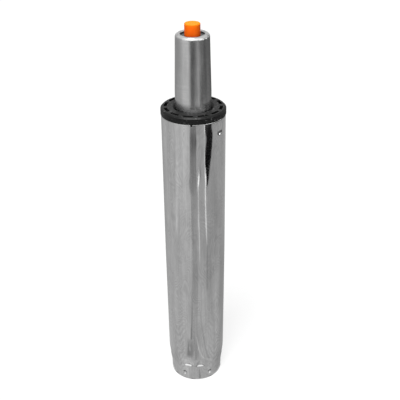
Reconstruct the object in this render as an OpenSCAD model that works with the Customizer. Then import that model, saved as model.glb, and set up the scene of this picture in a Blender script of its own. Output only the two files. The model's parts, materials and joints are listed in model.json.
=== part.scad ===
// Chair gas lift cylinder, standing on its foot, at its lowest height.
// The column holds a plastic guide sleeve and, at its foot, a staked plate.
// A piston rod stands on the plate through a thrust bearing, so it can turn.
// The pressure tube slides up the rod inside the sleeve and carries the seat.

/* [Column] */
// Outside diameter of the column tube
column_d = 50; // [49:0.5:54]
// Wall thickness of the column tube
column_wall = 1.5; // [1.2:0.1:1.8]
// Height of the column tube from its foot to its rim
column_h = 250.7; // [238:0.1:280]
// Height where the slow taper of the lower end begins
taper_h = 128; // [100:1:150]
// How much the slow taper takes off the radius
taper_drop = 0.7; // [0.5:0.05:1.2]
// Height of the shoulder's corner, at the end of the taper
shoulder_h = 23.2; // [21:0.1:26]
// Length that the shoulder's blend takes to each side of its corner
shoulder_blend = 7.5; // [4:0.5:9]
// Outside diameter of the neck at the foot
neck_d = 44.6; // [42:0.1:46]
// Height of the straight part of the neck
neck_h = 8.5; // [8.2:0.1:10]
// Length that the neck's blend takes to each side of its corner
neck_blend = 2.2; // [1:0.1:3]
// Rounding of the column's rim and foot edges
edge_round = 0.5; // [0.2:0.1:0.6]

/* [Stake marks] */
// Number of punched dimples round the neck
dimple_count = 6; // [3:1:8]
// Diameter of a dimple on the outer face
dimple_d = 3.8; // [3:0.1:4.2]
// Depth of a dimple
dimple_depth = 0.8; // [0.4:0.1:1]
// Height of the dimples above the foot
dimple_z = 6.3; // [6:0.1:7]
// Bearing of the first dimple, in degrees to the right of the front
dimple_bearing = 32; // [0:1:60]
// Diameter of the two dents that hold the sleeve
dent_d = 6.5; // [6:0.5:10]
// Depth of a dent
dent_depth = 0.8; // [0.5:0.1:1.2]
// Distance of the dents below the rim
dent_drop = 9.2; // [8:0.1:16]
// Bearing of the first dent, in degrees to the right of the front
dent_bearing = 53; // [0:1:90]

/* [Guide sleeve] */
// Length of the sleeve's barrel below the rim
sleeve_len = 94; // [80:1:110]
// Height of the flange above the rim
flange_h = 5.4; // [4:0.1:7]
// How far the flange stands out past the column
flange_over = 0.35; // [0.2:0.05:0.8]
// Chamfer of the flange's upper edge
flange_chamfer = 1.2; // [0.5:0.1:2]
// Width of the lead-in round the sleeve's bore
lead_in = 1.9; // [1:0.1:3]
// Number of slots in the flange, and of ribs on the barrel
slot_count = 12; // [6:1:14]
// Width of a slot across the flange
slot_w = 2.4; // [1:0.1:2.5]
// Length of a slot, in degrees
slot_deg = 21; // [12:1:23]
// Depth of a slot
slot_depth = 7; // [3:0.5:7.5]
// Skin left outside the slots
slot_skin = 0.65; // [0.5:0.05:1]
// Bearing of the first slot, in degrees to the right of the front
slot_bearing = -11; // [-30:1:30]
// Wall round the bore between the sleeve's two bands
core_wall = 3.6; // [2.5:0.1:5]
// Height of the sleeve's upper band below the rim
upper_band_h = 23; // [22:1:30]
// Height of the sleeve's lower band
lower_band_h = 15; // [8:1:20]
// Thickness of a rib
rib_t = 2; // [1.2:0.1:3]
// Width of the key that sits in the rim's notch
key_w = 1.2; // [0.8:0.1:2]
// Height of the key
key_h = 1.6; // [1:0.1:3]
// Bearing of the key, in degrees to the right of the front
key_bearing = -4; // [-30:1:30]

/* [Base plate] */
// Thickness of the base plate
plate_t = 6; // [5.5:0.1:7]
// Diameter of the recess under the plate
recess_d = 22; // [18:1:28]
// Depth of the recess under the plate
recess_depth = 1.5; // [1:0.1:2]

/* [Thrust bearing] */
// Outside diameter of the races
race_d = 25; // [24:0.5:30]
// Thickness of a race
race_t = 2.5; // [2:0.1:3]
// Depth of the ball groove in a race
groove_depth = 0.6; // [0.4:0.05:0.8]
// Diameter of a ball
ball_d = 4; // [3.5:0.1:4.2]
// Number of balls
ball_count = 10; // [8:1:12]
// Diameter of the circle of ball centres
ball_pitch_d = 17.2; // [16.6:0.1:18]
// Thickness of the ball cage
cage_t = 1; // [0.8:0.1:1.4]
// Width of the cage past the circle of balls, to each side
cage_side = 2.9; // [2.6:0.1:3.2]

/* [Rod] */
// Travel of the lift tube
stroke = 140; // [100:1:155]
// Diameter of the piston rod
rod_d = 10; // [9:0.5:12]
// Diameter of the stub that passes through the plate
stub_d = 8; // [7:0.5:8.5]
// Depth of the clip groove in the stub
clip_groove = 0.7; // [0.4:0.1:1]
// Outside diameter of the clip
clip_d = 14; // [12:0.5:17]
// Thickness of the clip
clip_t = 1; // [0.8:0.1:1.2]
// Outside diameter of the washer over the clip
rod_washer_d = 16; // [13:0.5:17]
// Thickness of the washer over the clip
rod_washer_t = 1; // [0.8:0.1:1.2]
// Diameter of the support washer
support_d = 34; // [28:1:38]
// Thickness of the support washer
support_t = 2; // [1.5:0.1:3]
// Diameter of the rubber bumper
bumper_d = 27; // [22:1:32]
// Height of the rubber bumper
bumper_h = 14; // [10:1:18]

/* [Piston] */
// Height of the piston
piston_h = 12; // [12:1:16]
// Diameter of the rod's end inside the piston
piston_stub_d = 7; // [6:0.5:7.5]
// Diameter of the riveted head over the piston
rivet_d = 9.6; // [8.5:0.1:12]
// Height of the riveted head
rivet_h = 2.5; // [2:0.1:3]
// Diameter of the washer on the piston
piston_washer_d = 16; // [13:0.5:17]
// Thickness of the washer on the piston
piston_washer_t = 1.5; // [1:0.1:2]
// Free space between piston and rod guide at full height
stop_gap = 1.5; // [0.5:0.1:3]

/* [Pressure tube] */
// Outside diameter of the pressure tube
tube_d = 28; // [27.6:0.1:29]
// Wall thickness of the pressure tube
tube_wall = 1.5; // [1.2:0.1:1.5]
// Length of tube that shows above the flange at the lowest height
tube_exposed = 56.7; // [54:0.1:80]
// Length of the tapered top
tube_taper_len = 43.8; // [40:0.1:46]
// Angle of the tapered top against the axis, in degrees
tube_taper_deg = 1.438; // [1:0.001:1.6]
// Rounding of the rolled rim's outer side
rim_roll = 2; // [1.2:0.1:2.1]
// Slope of the rim from the top of its roll down to its opening, in degrees
rim_slope = 22; // [5:1:24]
// Diameter of the opening in the rolled rim
rim_bore_d = 18.2; // [17:0.1:18.6]
// Rounding of that opening's edge
mouth_round = 0.7; // [0.2:0.1:0.8]
// Rounding of the rolled lower end
foot_roll = 1.2; // [0.8:0.1:1.5]
// Thickness of the rolled ends
lip_t = 1.6; // [1.3:0.1:2]
// Diameter of the opening in the rolled lower end
foot_bore_d = 19; // [16:0.5:21]

/* [Packing] */
// Thickness of the washer in the lower end
end_washer_t = 2; // [1.5:0.1:3]
// Height of the rod seal
seal_h = 7; // [5.5:0.5:9]
// Height of the rod guide's barrel
guide_h = 12; // [12:0.5:18]
// Height of the rod guide's spigot
spigot_h = 8; // [5:0.5:9]
// Section of the two large sealing rings
ring_d = 2.2; // [1.8:0.1:2.4]
// Bore of the inner cylinder
cylinder_bore = 20; // [19:0.1:20.4]
// Wall of the inner cylinder
cylinder_wall = 1; // [0.8:0.1:1.3]
// Number of gas channels in the rod guide, and of ports in the valve
channel_count = 4; // [2:1:6]
// Width of a gas channel
channel_w = 2; // [1:0.1:3]

/* [Valve] */
// Height of the belt with the gas ports
port_belt_h = 5; // [4.5:0.1:6]
// Diameter of a gas port
port_d = 1.6; // [1:0.1:2]
// Height of the valve's sealing flange
valve_flange_h = 7.5; // [6:0.1:9]
// Length of the valve's spigot in the inner cylinder
valve_spigot_h = 6; // [5.8:0.1:8]
// Bore that holds the pin's seals
stack_d = 9; // [8.8:0.1:10]
// Section of the pin's seals
pin_ring_d = 2.2; // [1.8:0.1:2.2]
// Height of the spacer between the pin's seals
spacer_h = 7; // [6:0.1:8]
// Thickness of the washer under the rolled rim
valve_washer_t = 1.5; // [1:0.1:2]
// Diameter of the valve pin
pin_d = 4; // [3.6:0.1:4.2]
// Diameter of the pin's waist
waist_d = 2.6; // [2:0.1:3]
// Diameter of the pin's head
pin_head_d = 6.8; // [6:0.1:8]
// Height of the pin's head
pin_head_h = 1.8; // [1:0.1:3]

/* [Button] */
// Diameter of the button
button_d = 11.9; // [10:0.1:13]
// Height that the button stands above the rim
button_proud = 7.5; // [5:0.1:10]
// Travel of the button
button_travel = 3; // [2:0.1:3.5]
// Chamfer of the button's upper edge
button_chamfer = 0.5; // [0.3:0.1:1.5]
// Diameter of the button's collar
collar_d = 15.2; // [14.4:0.1:16]
// Height of the button's collar
collar_h = 3; // [2:0.1:4]

/* [Fits] */
// Radial clearance of running fits
run_gap = 0.05; // [0.03:0.01:0.08]
// Radial clearance between pieces that are fixed to each other
fit_gap = 0.05; // [0.03:0.01:0.1]
// Axial play between pieces that turn or slide against each other
play = 0.1; // [0.05:0.01:0.2]
// Gap between the tube's lower end and the bumper at the lowest height
seat_gap = 0.3; // [0.2:0.05:0.5]

/* [Hidden] */

$fn = 96;
// How far a cutting tool runs past the face that it cuts
over = 1;

// Column
column_r = column_d / 2;
bore_r = column_r - column_wall;
neck_r = neck_d / 2;
neck_bore_r = neck_r - column_wall;
shoulder_r = column_r - taper_drop;

// Guide sleeve
sleeve_r = bore_r - fit_gap;
sleeve_bore_r = tube_d / 2 + run_gap;
sleeve_z = column_h - sleeve_len;
flange_r = column_r + flange_over;
flange_z = column_h + flange_h;
slot_out_r = sleeve_r - slot_skin;
dent_z = column_h - dent_drop;
dent_groove_h = dent_d + 4 * play;

// Base plate and thrust bearing
plate_z = dimple_z - plate_t / 2;
plate_top = plate_z + plate_t;
ball_r = ball_d / 2;
pitch_r = ball_pitch_d / 2;
groove_r = 1.08 * ball_r;
ball_z = plate_top + race_t - groove_depth + ball_r + run_gap;
upper_race_z = ball_z + ball_r + run_gap - groove_depth;
race_bore_r = stub_d / 2 + 4 * play;

// Rod and what it carries
support_z = upper_race_z + race_t;
rod_z = support_z + support_t;
recess_top = plate_z + recess_depth;
rod_washer_z = recess_top - play - rod_washer_t;
clip_z = rod_washer_z - clip_t;
stub_end = clip_z - 1;
stub_r = stub_d / 2;
rod_r = rod_d / 2;

// Pressure tube and packing, from the lower end up
tube_r = tube_d / 2;
tube_bore_r = tube_r - tube_wall;
tube_z = rod_z + bumper_h + seat_gap;
end_washer_z = tube_z + lip_t;
seal_z = end_washer_z + end_washer_t;
guide_z = seal_z + seal_h;
cylinder_z = guide_z + guide_h;
spigot_top = cylinder_z + spigot_h;
packing_r = tube_bore_r - fit_gap;
ring_r = packing_r - ring_d / 2;
ring_groove_r = packing_r - ring_d - fit_gap;
ring_groove_h = ring_d + 4 * play;
cylinder_r = cylinder_bore / 2;
cylinder_out_r = cylinder_r + cylinder_wall;
spigot_r = cylinder_r - fit_gap;

// Piston
piston_r = cylinder_r - run_gap;
piston_z = spigot_top + stroke + stop_gap;
piston_top = piston_z + piston_h;
rivet_z = piston_top + piston_washer_t;
piston_groove_z = piston_z + piston_h * 0.4;

// Tube top and valve, from the rim down
tube_top = flange_z + tube_exposed;
tube_taper_z = tube_top - tube_taper_len;
taper_rate = tan(tube_taper_deg);
rim_r = tube_r - taper_rate * (tube_taper_len - rim_roll);
rim_reach = rim_roll / tan((90 - rim_slope) / 2);
rim_corner_z = tube_top - rim_roll + rim_reach;
rim_inner_r = tube_r - taper_rate * tube_taper_len - tube_wall;
valve_washer_z = tube_top - lip_t - valve_washer_t;
valve_flange_z = tube_taper_z - 2 * play - valve_flange_h;
valve_z = valve_flange_z - port_belt_h;
stack_z = valve_z - valve_spigot_h;
stack_r = stack_d / 2;
pin_r = pin_d / 2;
pin_bore_r = pin_r + run_gap;
pin_slot_h = pin_ring_d + play;
spacer_z = valve_z - 1;
seat_top = spacer_z - pin_slot_h;
stack_top = spacer_z + spacer_h + pin_slot_h;
port_z = valve_z + port_belt_h / 2;

// Button and pin
collar_r = collar_d / 2;
collar_z = valve_washer_z - 2 * play - collar_h;
chamber_z = collar_z - button_travel - 3 * play;
button_top = tube_top + button_proud;
button_r = button_d / 2;
pin_top = tube_top + 1;
pin_head_z = stack_z - 2 * play - pin_head_h;

function unit(v) = v / norm(v);

// Points of an arc that blends the corner b between the lines to a and to c
function blend(a, b, c, t, n = 8) =
    let (u = unit(a - b), w = unit(c - b), half = acos(u * w) / 2)
    let (centre = b + unit(u + w) * t / cos(half), s = b + u * t - centre)
    let (turn = -sign(cross(u, w)) * (180 - 2 * half))
    [for (i = [0:n]) let (k = turn * i / n)
        centre + [s.x * cos(k) - s.y * sin(k), s.x * sin(k) + s.y * cos(k)]];

// Radius of the ball that leaves a dent of this diameter and depth
function dent_ball(d, depth) = (d * d / 4 + depth * depth) / (2 * depth);

// Turns what lies along +X to a bearing, in degrees to the right of the front
module at_bearing(deg) {
    rotate([0, 0, deg - 90]) children();
}

module ring(inner, outer, height) {
    difference() {
        cylinder(r = outer, h = height);
        translate([0, 0, -over]) cylinder(r = inner, h = height + 2 * over);
    }
}

module o_ring(radius, section) {
    rotate_extrude() translate([radius, 0]) circle(d = section, $fn = 48);
}

// Outline of the column's outer face, from the foot to the rim
function column_outline(inset) =
    let (foot = [neck_r, 0], neck = [neck_r, neck_h], corner = [shoulder_r, shoulder_h])
    let (start = [column_r, taper_h], rim = [column_r, column_h])
    [for (p = concat([[neck_r - edge_round, 0], [neck_r, edge_round]],
            blend(foot, neck, corner, neck_blend),
            blend(neck, corner, start, shoulder_blend),
            [start, [column_r, column_h - edge_round], [column_r - edge_round, column_h]]))
        [p.x - inset, p.y]];

module column_shell() {
    outer = column_outline(0);
    inner = [for (p = column_outline(column_wall)) [min(p.x, bore_r), p.y]];
    last = len(inner) - 2;
    rotate_extrude()
        polygon(concat(outer, [[bore_r, column_h]], [for (i = [last:-1:2]) inner[i]],
            [[neck_bore_r, 0]]));
}

// A dent pressed into the outer face by a ball
module dent(face_r, z, d, depth) {
    ball = dent_ball(d, depth);
    translate([face_r + ball - depth, 0, z]) sphere(r = ball, $fn = 64);
}

// The bump that a dent raises on the inner face
module bump(inner_r, z, d, depth) {
    translate([inner_r - depth, 0, z]) rotate([0, 90, 0])
        cylinder(d = 0.8 * d, h = depth + column_wall / 4, $fn = 48);
}

module each_dent() {
    for (turn = [0, 180])
        at_bearing(dent_bearing + turn) children();
}

module each_dimple() {
    step = 360 / dimple_count;
    for (i = [0:dimple_count - 1])
        at_bearing(dimple_bearing + i * step) children();
}

module column_tube() {
    color("gainsboro")
    difference() {
        union() {
            column_shell();
            each_dent() bump(bore_r, dent_z, dent_d, dent_depth);
            each_dimple() bump(neck_bore_r, dimple_z, dimple_d, dimple_depth);
        }
        each_dent() dent(column_r, dent_z, dent_d, dent_depth);
        each_dimple() dent(neck_r, dimple_z, dimple_d, dimple_depth);
        at_bearing(key_bearing)
            translate([bore_r - over, -key_w / 2 - play, column_h - key_h - play])
                cube([column_wall + 2 * over, key_w + 2 * play, key_h + play + over]);
    }
}

module sleeve_profile() {
    core_r = sleeve_bore_r + core_wall;
    groove_low = dent_z - dent_groove_h / 2;
    groove_high = dent_z + dent_groove_h / 2;
    groove_floor = sleeve_r - dent_depth - play;
    lower_top = sleeve_z + lower_band_h;
    upper_low = column_h - upper_band_h;
    polygon([
        [sleeve_bore_r, sleeve_z + 1], [sleeve_bore_r + 1, sleeve_z], [sleeve_r - 1, sleeve_z],
        [sleeve_r, sleeve_z + 2], [sleeve_r, lower_top], [core_r, lower_top],
        [core_r, upper_low], [sleeve_r, upper_low], [sleeve_r, groove_low],
        [groove_floor, groove_low], [groove_floor, groove_high], [sleeve_r, groove_high],
        [sleeve_r, column_h], [flange_r, column_h], [flange_r, flange_z - flange_chamfer],
        [flange_r - flange_chamfer, flange_z], [sleeve_bore_r + lead_in, flange_z],
        [sleeve_bore_r, flange_z - 1.2 * lead_in]]);
}

module sleeve_ribs() {
    low = sleeve_z + lower_band_h - over;
    high = column_h - upper_band_h + over;
    inner = sleeve_bore_r + core_wall - over;
    intersection() {
        union()
            for (i = [0:slot_count - 1])
                at_bearing(slot_bearing + (i + 0.5) * 360 / slot_count)
                    translate([inner, -rib_t / 2, low]) cube([sleeve_r, rib_t, high - low]);
        translate([0, 0, low]) cylinder(r = sleeve_r, h = high - low);
    }
}

module sleeve_slots() {
    for (i = [0:slot_count - 1])
        at_bearing(slot_bearing - slot_deg / 2 + i * 360 / slot_count)
            translate([0, 0, flange_z - slot_depth])
                rotate_extrude(angle = slot_deg)
                    translate([slot_out_r - slot_w, 0]) square([slot_w, slot_depth + over]);
}

module sleeve_key() {
    at_bearing(key_bearing)
        translate([sleeve_r - over, -key_w / 2, column_h - key_h])
            cube([column_r - play - sleeve_r + over, key_w, key_h + over]);
}

module guide_sleeve() {
    color([0.1, 0.1, 0.1])
    difference() {
        union() {
            rotate_extrude() sleeve_profile();
            sleeve_ribs();
            sleeve_key();
        }
        sleeve_slots();
    }
}

module base_plate() {
    edge_r = neck_bore_r - fit_gap;
    groove_floor = edge_r - dimple_depth - play;
    low = dimple_z - dimple_d / 2 - play;
    high = dimple_z + dimple_d / 2 + play;
    plate_bore_r = stub_r + run_gap;
    color("slategray")
    rotate_extrude()
        polygon([
            [recess_d / 2, plate_z], [edge_r, plate_z], [edge_r, low], [groove_floor, low],
            [groove_floor, high], [edge_r, high], [edge_r, plate_top],
            [plate_bore_r, plate_top], [plate_bore_r, recess_top], [recess_d / 2, recess_top]]);
}

// A race between two heights, with a ball groove
module race(low, bore, groove_z) {
    rotate_extrude()
        difference() {
            translate([bore, low]) square([race_d / 2 - bore, race_t]);
            translate([pitch_r, groove_z]) circle(r = groove_r);
        }
}

module lower_race() {
    color("lightsteelblue")
    race(plate_top, race_bore_r, ball_z - ball_r - run_gap + groove_r);
}

module upper_race() {
    color("lightsteelblue")
    race(upper_race_z, stub_r + fit_gap, ball_z + ball_r + run_gap - groove_r);
}

module each_ball() {
    for (i = [0:ball_count - 1])
        rotate([0, 0, i * 360 / ball_count]) translate([pitch_r, 0, ball_z]) children();
}

module bearing_balls() {
    color("white") each_ball() sphere(d = ball_d, $fn = 48);
}

module ball_cage() {
    color("goldenrod")
    difference() {
        translate([0, 0, ball_z - cage_t / 2]) ring(pitch_r - cage_side, pitch_r + cage_side, cage_t);
        each_ball() cylinder(r = ball_r + play, h = 2 * cage_t, center = true, $fn = 48);
    }
}

module support_washer() {
    color("slategray") translate([0, 0, support_z]) ring(stub_r + fit_gap, support_d / 2, support_t);
}

module bumper() {
    outer = bumper_d / 2;
    waist = outer - 1.5;
    inner = rod_r + 2 * play;
    middle = rod_z + bumper_h / 2;
    top = rod_z + bumper_h;
    color([0.15, 0.15, 0.15])
    rotate_extrude()
        polygon([
            [inner, rod_z], [outer - 1, rod_z], [outer, rod_z + 1], [outer, middle - 2.5],
            [waist, middle - 1], [waist, middle + 1], [outer, middle + 2.5],
            [outer, top - 1], [outer - 1, top], [inner, top]]);
}

module piston_rod() {
    groove_r_in = stub_r - clip_groove;
    groove_low = clip_z - play / 2;
    groove_high = rod_washer_z + play / 2;
    end_r = piston_stub_d / 2;
    head_r = rivet_d / 2;
    color("silver")
    rotate_extrude()
        polygon([
            [0, stub_end], [stub_r - 0.5, stub_end], [stub_r, stub_end + 0.5],
            [stub_r, groove_low], [groove_r_in, groove_low],
            [groove_r_in, groove_high], [stub_r, groove_high],
            [stub_r, rod_z], [rod_r, rod_z], [rod_r, piston_z],
            [end_r, piston_z], [end_r, rivet_z], [head_r, rivet_z],
            [head_r, rivet_z + 0.4 * rivet_h], [0.6 * head_r, rivet_z + rivet_h],
            [0, rivet_z + rivet_h]]);
}

module rod_washer() {
    color("slategray")
    translate([0, 0, rod_washer_z]) ring(stub_r + fit_gap, rod_washer_d / 2, rod_washer_t);
}

// Horseshoe clip: open to the back, with a gap a little narrower than its bore
module rod_clip() {
    bore = stub_r - clip_groove + fit_gap;
    gap = 1.8 * bore;
    color("dimgray")
    difference() {
        translate([0, 0, clip_z]) ring(bore, clip_d / 2, clip_t);
        translate([-gap / 2, 0, clip_z - over]) cube([gap, clip_d, clip_t + 2 * over]);
    }
}

module piston() {
    groove_high = piston_groove_z + ring_groove_h;
    groove_floor = piston_r - ring_d - fit_gap;
    inner = piston_stub_d / 2 + fit_gap;
    color("lightgray")
    rotate_extrude()
        polygon([
            [inner, piston_z], [piston_r - 0.8, piston_z], [piston_r, piston_z + 0.8],
            [piston_r, piston_groove_z], [groove_floor, piston_groove_z],
            [groove_floor, groove_high], [piston_r, groove_high],
            [piston_r, piston_top - 0.8], [piston_r - 0.8, piston_top], [inner, piston_top]]);
}

module piston_seal() {
    color([0.2, 0.2, 0.2])
    translate([0, 0, piston_groove_z + ring_groove_h / 2]) o_ring(piston_r - ring_d / 2, ring_d);
}

module piston_washer() {
    color("slategray")
    translate([0, 0, piston_top])
        ring(piston_stub_d / 2 + fit_gap, piston_washer_d / 2, piston_washer_t);
}

module pressure_tube() {
    rim_bore = rim_bore_d / 2;
    foot_bore = foot_bore_d / 2;
    foot_corner = blend([foot_bore, tube_z], [tube_r, tube_z], [tube_r, tube_top], foot_roll);
    corner = [rim_r, rim_corner_z];
    edge = [rim_bore, rim_corner_z - (rim_r - rim_bore) * tan(rim_slope)];
    rim = blend([rim_r, tube_z], corner, edge, rim_reach, 12);
    mouth = blend(corner, edge, [rim_bore, tube_z], mouth_round, 4);
    color("darkgray")
    rotate_extrude()
        polygon(concat([[foot_bore, tube_z]], foot_corner, [[tube_r, tube_taper_z]],
            rim, mouth,
            [[rim_bore, tube_top - lip_t], [rim_inner_r, tube_top - lip_t],
            [tube_bore_r, tube_taper_z], [tube_bore_r, end_washer_z], [foot_bore, end_washer_z]]));
}

module end_washer() {
    color("slategray")
    translate([0, 0, end_washer_z]) ring(rod_r + 2 * play, packing_r, end_washer_t);
}

// Lip seal: a heel below, and two lips parted by a groove that faces the gas
module rod_seal() {
    inner = rod_r + run_gap;
    lip = 1.6;
    depth = 0.45 * seal_h;
    top = seal_z + seal_h;
    color([0.2, 0.2, 0.2])
    rotate_extrude()
        polygon([
            [inner + 0.4, seal_z], [packing_r, seal_z], [packing_r, top], [packing_r - lip, top],
            [packing_r - 1.5 * lip, top - depth], [inner + 1.5 * lip, top - depth],
            [inner + lip, top], [inner, top], [inner, top - 0.3 * depth],
            [inner + 0.4, top - depth]]);
}

module rod_guide() {
    inner = rod_r + run_gap;
    low = guide_z + 0.3 * guide_h;
    color("dimgray")
    difference() {
        rotate_extrude()
            polygon([
                [inner, guide_z], [packing_r, guide_z], [packing_r, low],
                [ring_groove_r, low], [ring_groove_r, low + ring_groove_h],
                [packing_r, low + ring_groove_h], [packing_r, cylinder_z],
                [spigot_r, cylinder_z], [spigot_r, spigot_top - 0.5],
                [spigot_r - 0.5, spigot_top], [inner, spigot_top]]);
        for (i = [0:channel_count - 1])
            rotate([0, 0, i * 360 / channel_count])
                translate([spigot_r - 1, -channel_w / 2, cylinder_z - 1.2])
                    cube([packing_r, channel_w, spigot_h + 1.2 + over]);
    }
}

module guide_o_ring() {
    color([0.2, 0.2, 0.2])
    translate([0, 0, guide_z + 0.3 * guide_h + ring_groove_h / 2]) o_ring(ring_r, ring_d);
}

module inner_cylinder() {
    color("lightgray")
    translate([0, 0, cylinder_z]) ring(cylinder_r, cylinder_out_r, valve_z - cylinder_z);
}

module valve_body() {
    chamber_r = collar_r + 2 * play;
    neck = rim_inner_r - 5 * play;
    flange_top = valve_flange_z + valve_flange_h;
    low = valve_flange_z + (valve_flange_h - ring_groove_h) / 2;
    color("khaki")
    difference() {
        rotate_extrude()
            polygon([
                [stack_r, stack_z], [spigot_r, stack_z], [spigot_r, valve_z],
                [cylinder_out_r, valve_z], [cylinder_out_r, valve_flange_z],
                [packing_r, valve_flange_z], [packing_r, low], [ring_groove_r, low],
                [ring_groove_r, low + ring_groove_h], [packing_r, low + ring_groove_h],
                [packing_r, flange_top], [neck, flange_top], [neck, valve_washer_z],
                [chamber_r, valve_washer_z], [chamber_r, chamber_z], [pin_bore_r, chamber_z],
                [pin_bore_r, stack_top], [stack_r, stack_top]]);
        for (i = [0:channel_count - 1])
            rotate([0, 0, i * 360 / channel_count])
                translate([stack_r - over, 0, port_z]) rotate([0, 90, 0])
                    cylinder(d = port_d, h = cylinder_out_r, $fn = 24);
    }
}

module valve_o_ring() {
    color([0.2, 0.2, 0.2])
    translate([0, 0, valve_flange_z + valve_flange_h / 2]) o_ring(ring_r, ring_d);
}

module valve_seat() {
    color("peru")
    translate([0, 0, stack_z]) ring(pin_r + 3 * play, stack_r - fit_gap, seat_top - stack_z);
}

module valve_spacer() {
    outer = stack_r - fit_gap;
    color("peru")
    difference() {
        translate([0, 0, spacer_z]) ring(pin_r + 6 * play, outer, spacer_h);
        for (i = [0:channel_count - 1])
            rotate([0, 0, i * 360 / channel_count])
                translate([pin_r, 0, port_z]) rotate([0, 90, 0])
                    cylinder(d = port_d, h = stack_r, $fn = 24);
    }
}

module pin_seals() {
    color([0.2, 0.2, 0.2])
    for (z = [seat_top, spacer_z + spacer_h])
        translate([0, 0, z + pin_slot_h / 2]) o_ring(pin_bore_r + pin_ring_d / 2, pin_ring_d);
}

module valve_washer() {
    color("gray")
    translate([0, 0, valve_washer_z]) ring(button_r + play, rim_inner_r - play, valve_washer_t);
}

// The waist stands between the two seals, and opens the lower one when the pin goes down
module valve_pin() {
    head_r = pin_head_d / 2;
    waist_r = waist_d / 2;
    waist_low = spacer_z + 0.2;
    waist_high = waist_low + button_travel + pin_slot_h;
    color("silver")
    rotate_extrude()
        polygon([
            [0, pin_head_z], [head_r, pin_head_z], [head_r, pin_head_z + pin_head_h],
            [pin_r, pin_head_z + pin_head_h], [pin_r, waist_low - 0.4], [waist_r, waist_low],
            [waist_r, waist_high], [pin_r, waist_high + 0.4], [pin_r, pin_top - 0.5],
            [pin_r - 0.5, pin_top], [0, pin_top]]);
}

module release_button() {
    inner = pin_r + fit_gap;
    shoulder = collar_z + collar_h;
    color("darkorange")
    rotate_extrude()
        polygon([
            [inner, collar_z], [collar_r, collar_z], [collar_r, shoulder], [button_r, shoulder],
            [button_r, button_top - button_chamfer], [button_r - button_chamfer, button_top],
            [0, button_top], [0, pin_top + play], [inner, pin_top + play]]);
}

column_tube();
guide_sleeve();
base_plate();
lower_race();
ball_cage();
bearing_balls();
upper_race();
support_washer();
bumper();
piston_rod();
rod_washer();
rod_clip();
piston();
piston_seal();
piston_washer();
pressure_tube();
end_washer();
rod_seal();
rod_guide();
guide_o_ring();
inner_cylinder();
valve_body();
valve_o_ring();
valve_seat();
valve_spacer();
pin_seals();
valve_washer();
valve_pin();
release_button();
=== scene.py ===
import json
import math

import bpy
from mathutils import Matrix, Vector


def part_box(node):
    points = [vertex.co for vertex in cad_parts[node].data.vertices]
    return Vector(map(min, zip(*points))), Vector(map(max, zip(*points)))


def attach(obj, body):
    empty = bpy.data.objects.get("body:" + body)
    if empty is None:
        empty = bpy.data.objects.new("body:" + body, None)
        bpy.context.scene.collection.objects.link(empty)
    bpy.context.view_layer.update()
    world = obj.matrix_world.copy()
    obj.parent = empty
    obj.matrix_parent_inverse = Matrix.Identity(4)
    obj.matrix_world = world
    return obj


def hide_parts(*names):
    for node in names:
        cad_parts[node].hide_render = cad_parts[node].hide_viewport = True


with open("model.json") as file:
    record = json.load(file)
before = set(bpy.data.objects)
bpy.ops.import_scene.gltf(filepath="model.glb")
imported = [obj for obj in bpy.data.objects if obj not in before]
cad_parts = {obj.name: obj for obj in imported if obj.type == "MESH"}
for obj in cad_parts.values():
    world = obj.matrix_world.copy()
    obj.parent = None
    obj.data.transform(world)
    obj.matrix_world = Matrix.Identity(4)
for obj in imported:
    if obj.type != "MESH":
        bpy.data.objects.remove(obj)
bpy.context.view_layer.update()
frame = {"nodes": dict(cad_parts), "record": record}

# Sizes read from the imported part, in metres
MM = 0.001
nodes = frame["nodes"]
column_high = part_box("column_tube")[1]
sleeve_low, sleeve_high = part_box("guide_sleeve")
tube_low, tube_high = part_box("pressure_tube")
washer_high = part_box("valve_washer")[1]
end_washer_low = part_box("end_washer")[0]
button_low, button_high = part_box("release_button")
plate_low, plate_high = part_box("base_plate")
pin_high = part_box("valve_pin")[1]

# Column
column_facets = 480
column_r = column_high.x
column_top = column_high.z
column_wall = 1.5 * MM
taper_z = 128 * MM
shoulder_r = column_r - 0.7 * MM
shoulder_z = 23.2 * MM
shoulder_reach = 7.5 * MM
neck_r = 22.3 * MM
neck_z = 8.5 * MM
neck_reach = 2.2 * MM
edge_round = 0.5 * MM
neck_step = 0.3 * MM
plain_step = 5 * MM
dent_step = 0.35 * MM
inner_step = 1 * MM
dimple_d = 3.8 * MM
dimple_depth = 0.8 * MM
dimple_dish_d = 5.6 * MM
dimple_dish_depth = 0.3 * MM
dimple_z = (plate_low.z + plate_high.z) / 2
dimple_bearings = [32 + 60 * i for i in range(6)]
dent_d = 6.5 * MM
dent_depth = 0.8 * MM
dent_z = column_top - 9.2 * MM
dent_bearings = [53, 233]
# The swaging jaws left a shallow groove round the neck, deeper where each jaw pressed
groove_z = 17.6 * MM
groove_below = 1.9 * MM
groove_above = 6 * MM
groove_rounding = 1.2
jaw_depths = [MM * depth for depth in (1.3, 1.25, 0.4, 0.7, 0.5, 0.8, 0.4, 0.7, 0.5, 0.8, 0.4, 0.7, 0.4)]
jaw_bearing = -19.5
jaw_rounding = 0.6

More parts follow.
